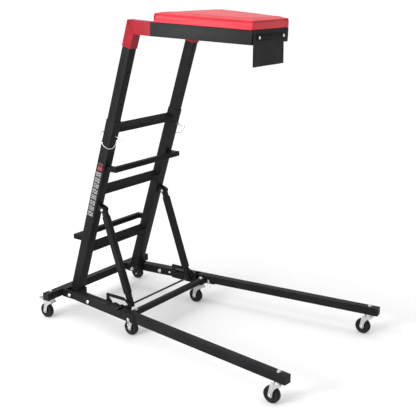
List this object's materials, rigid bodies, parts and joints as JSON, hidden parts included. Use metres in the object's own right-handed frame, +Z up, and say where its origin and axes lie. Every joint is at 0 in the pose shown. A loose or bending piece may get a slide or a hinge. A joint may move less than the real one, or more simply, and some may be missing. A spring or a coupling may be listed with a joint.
{
  "type": "topside leaning creeper",
  "caption": "Rolling black steel ladder that leans forward on struts over two splayed legs, with telescoping red elbows and a padded red chest deck.",
  "frame": {"origin": "on the floor under the middle of the outline", "axes": "+X forward along the base legs, +Y to the left, +Z up"},
  "size_m": [1.5243, 0.896, 1.5359],
  "materials": {
    "black_frame": "satin black powder coat",
    "black_step": "satin black powder coat",
    "red_elbow": "gloss red powder coat",
    "black_plastic": "moulded black cap",
    "zinc": "bright zinc plate",
    "bolt_zinc": "bright zinc plate",
    "dark_steel": "black oxide",
    "pad_vinyl": "smooth grained red vinyl",
    "plywood": "raw plywood",
    "apron_vinyl": "black coated fabric",
    "tyre_black": "moulded rubber",
    "brake_grey": "stamped zinc plate"
  },
  "bodies": {
    "base": {"rear_crossbar": "black_frame", "crossbar_caps": "black_plastic", "rear_bracket_left": "black_frame", "rear_bracket_right": "black_frame", "base_rail_left": "black_frame", "base_rail_right": "black_frame", "front_crossbar": "black_frame", "notch_plate_left": "black_frame", "notch_plate_right": "black_frame", "frame_bolts": "bolt_zinc", "pivot_spacers": "dark_steel", "caster_stems": "zinc"},
    "leg_left": {"front_leg_left": "black_frame", "leg_cap_left": "black_plastic", "leg_stem_left": "zinc"},
    "leg_right": {"front_leg_right": "black_frame", "leg_cap_right": "black_plastic", "leg_stem_right": "zinc"},
    "leg_pin_left": {"leg_pin_left": "zinc"},
    "leg_pin_right": {"leg_pin_right": "zinc"},
    "ladder": {"upright_left": "black_frame", "upright_right": "black_frame", "rungs": "black_step", "front_step": "black_step", "rear_step": "black_step", "strut_brackets": "black_frame", "strut_bolts": "bolt_zinc"},
    "struts": {"strut_left": "black_frame", "strut_right": "black_frame", "lock_rod": "dark_steel"},
    "upper_frame": {"inner_tube_left": "black_frame", "inner_tube_right": "black_frame", "elbow_left": "red_elbow", "elbow_right": "red_elbow", "deck_rail_left": "black_frame", "deck_rail_right": "black_frame", "deck_front_bar": "black_frame", "deck_board": "plywood", "pad": "pad_vinyl", "clamp_strip": "black_step", "apron": "apron_vinyl", "deck_bolts": "bolt_zinc"},
    "height_pin_left": {"height_pin_left": "zinc"},
    "height_pin_right": {"height_pin_right": "zinc"},
    "fork_rear_left": {"fork_rear_left": "zinc"},
    "wheel_rear_left": {"wheel_rear_left": "tyre_black"},
    "brake_rear_left": {"brake_rear_left": "brake_grey"},
    "fork_rear_right": {"fork_rear_right": "zinc"},
    "wheel_rear_right": {"wheel_rear_right": "tyre_black"},
    "brake_rear_right": {"brake_rear_right": "brake_grey"},
    "fork_mid_left": {"fork_mid_left": "zinc"},
    "wheel_mid_left": {"wheel_mid_left": "tyre_black"},
    "fork_mid_right": {"fork_mid_right": "zinc"},
    "wheel_mid_right": {"wheel_mid_right": "tyre_black"},
    "fork_front_left": {"fork_front_left": "zinc"},
    "wheel_front_left": {"wheel_front_left": "tyre_black"},
    "fork_front_right": {"fork_front_right": "zinc"},
    "wheel_front_right": {"wheel_front_right": "tyre_black"}
  },
  "joints": [
    {"name": "ladder_lean", "type": "hinge", "parent": "base", "child": "ladder", "pos_m": [-0.62, 0, 0.12], "axis": [0, -1, 0], "range_deg": [0, 7.5]},
    {"name": "strut_swing", "type": "hinge", "parent": "ladder", "child": "struts", "pos_m": [-0.407, 0, 0.598], "axis": [0, -1, 0], "range_deg": [-10.2, 0]},
    {"name": "height_slide", "type": "slide", "parent": "ladder", "child": "upper_frame", "axis": [0.3032, 0, 0.9529], "range_m": [-0.314, 0.314]},
    {"name": "leg_fold_left", "type": "hinge", "parent": "base", "child": "leg_left", "pos_m": [-0.229, 0.31019, 0.127], "axis": [0.1193, -0.9929, 0], "range_deg": [0, 95]},
    {"name": "leg_pin_pull_left", "type": "slide", "parent": "base", "child": "leg_pin_left", "axis": [0.1193, -0.9929, 0], "range_m": [0, 0.055]},
    {"name": "height_pin_pull_left", "type": "slide", "parent": "ladder", "child": "height_pin_left", "axis": [-0.9529, 0, 0.3032], "range_m": [0, 0.094]},
    {"name": "leg_fold_right", "type": "hinge", "parent": "base", "child": "leg_right", "pos_m": [-0.229, -0.31019, 0.127], "axis": [-0.1193, -0.9929, 0], "range_deg": [0, 95]},
    {"name": "leg_pin_pull_right", "type": "slide", "parent": "base", "child": "leg_pin_right", "axis": [-0.1193, -0.9929, 0], "range_m": [0, 0.055]},
    {"name": "height_pin_pull_right", "type": "slide", "parent": "ladder", "child": "height_pin_right", "axis": [-0.9529, 0, 0.3032], "range_m": [0, 0.094]},
    {"name": "swivel_rear_left", "type": "hinge", "parent": "base", "child": "fork_rear_left", "pos_m": [-0.685, 0.353, 0.095], "axis": [0, 0, 1], "continuous": true},
    {"name": "roll_rear_left", "type": "hinge", "parent": "fork_rear_left", "child": "wheel_rear_left", "pos_m": [-0.716, 0.353, 0.038], "axis": [0, 1, 0], "continuous": true},
    {"name": "brake_press_left", "type": "hinge", "parent": "fork_rear_left", "child": "brake_rear_left", "pos_m": [-0.702, 0.353, 0.087], "axis": [0, -1, 0], "range_deg": [0, 9]},
    {"name": "swivel_rear_right", "type": "hinge", "parent": "base", "child": "fork_rear_right", "pos_m": [-0.685, -0.353, 0.095], "axis": [0, 0, 1], "continuous": true},
    {"name": "roll_rear_right", "type": "hinge", "parent": "fork_rear_right", "child": "wheel_rear_right", "pos_m": [-0.716, -0.353, 0.038], "axis": [0, 1, 0], "continuous": true},
    {"name": "brake_press_right", "type": "hinge", "parent": "fork_rear_right", "child": "brake_rear_right", "pos_m": [-0.702, -0.353, 0.087], "axis": [0, -1, 0], "range_deg": [0, 9]},
    {"name": "swivel_mid_left", "type": "hinge", "parent": "base", "child": "fork_mid_left", "pos_m": [-0.192, 0.262, 0.095], "axis": [0, 0, 1], "continuous": true},
    {"name": "roll_mid_left", "type": "hinge", "parent": "fork_mid_left", "child": "wheel_mid_left", "pos_m": [-0.223, 0.262, 0.038], "axis": [0, 1, 0], "continuous": true},
    {"name": "swivel_mid_right", "type": "hinge", "parent": "base", "child": "fork_mid_right", "pos_m": [-0.192, -0.262, 0.095], "axis": [0, 0, 1], "continuous": true},
    {"name": "roll_mid_right", "type": "hinge", "parent": "fork_mid_right", "child": "wheel_mid_right", "pos_m": [-0.223, -0.262, 0.038], "axis": [0, 1, 0], "continuous": true},
    {"name": "swivel_front_left", "type": "hinge", "parent": "leg_left", "child": "fork_front_left", "pos_m": [0.712, 0.42323, 0.095], "axis": [0, 0, 1], "continuous": true},
    {"name": "roll_front_left", "type": "hinge", "parent": "fork_front_left", "child": "wheel_front_left", "pos_m": [0.681, 0.42323, 0.038], "axis": [0, 1, 0], "continuous": true},
    {"name": "swivel_front_right", "type": "hinge", "parent": "leg_right", "child": "fork_front_right", "pos_m": [0.712, -0.42323, 0.095], "axis": [0, 0, 1], "continuous": true},
    {"name": "roll_front_right", "type": "hinge", "parent": "fork_front_right", "child": "wheel_front_right", "pos_m": [0.681, -0.42323, 0.038], "axis": [0, 1, 0], "continuous": true}
  ],
  "couplings": [
    {"joint": "strut_swing", "follows": "ladder_lean", "ratio": -1.35}
  ]
}
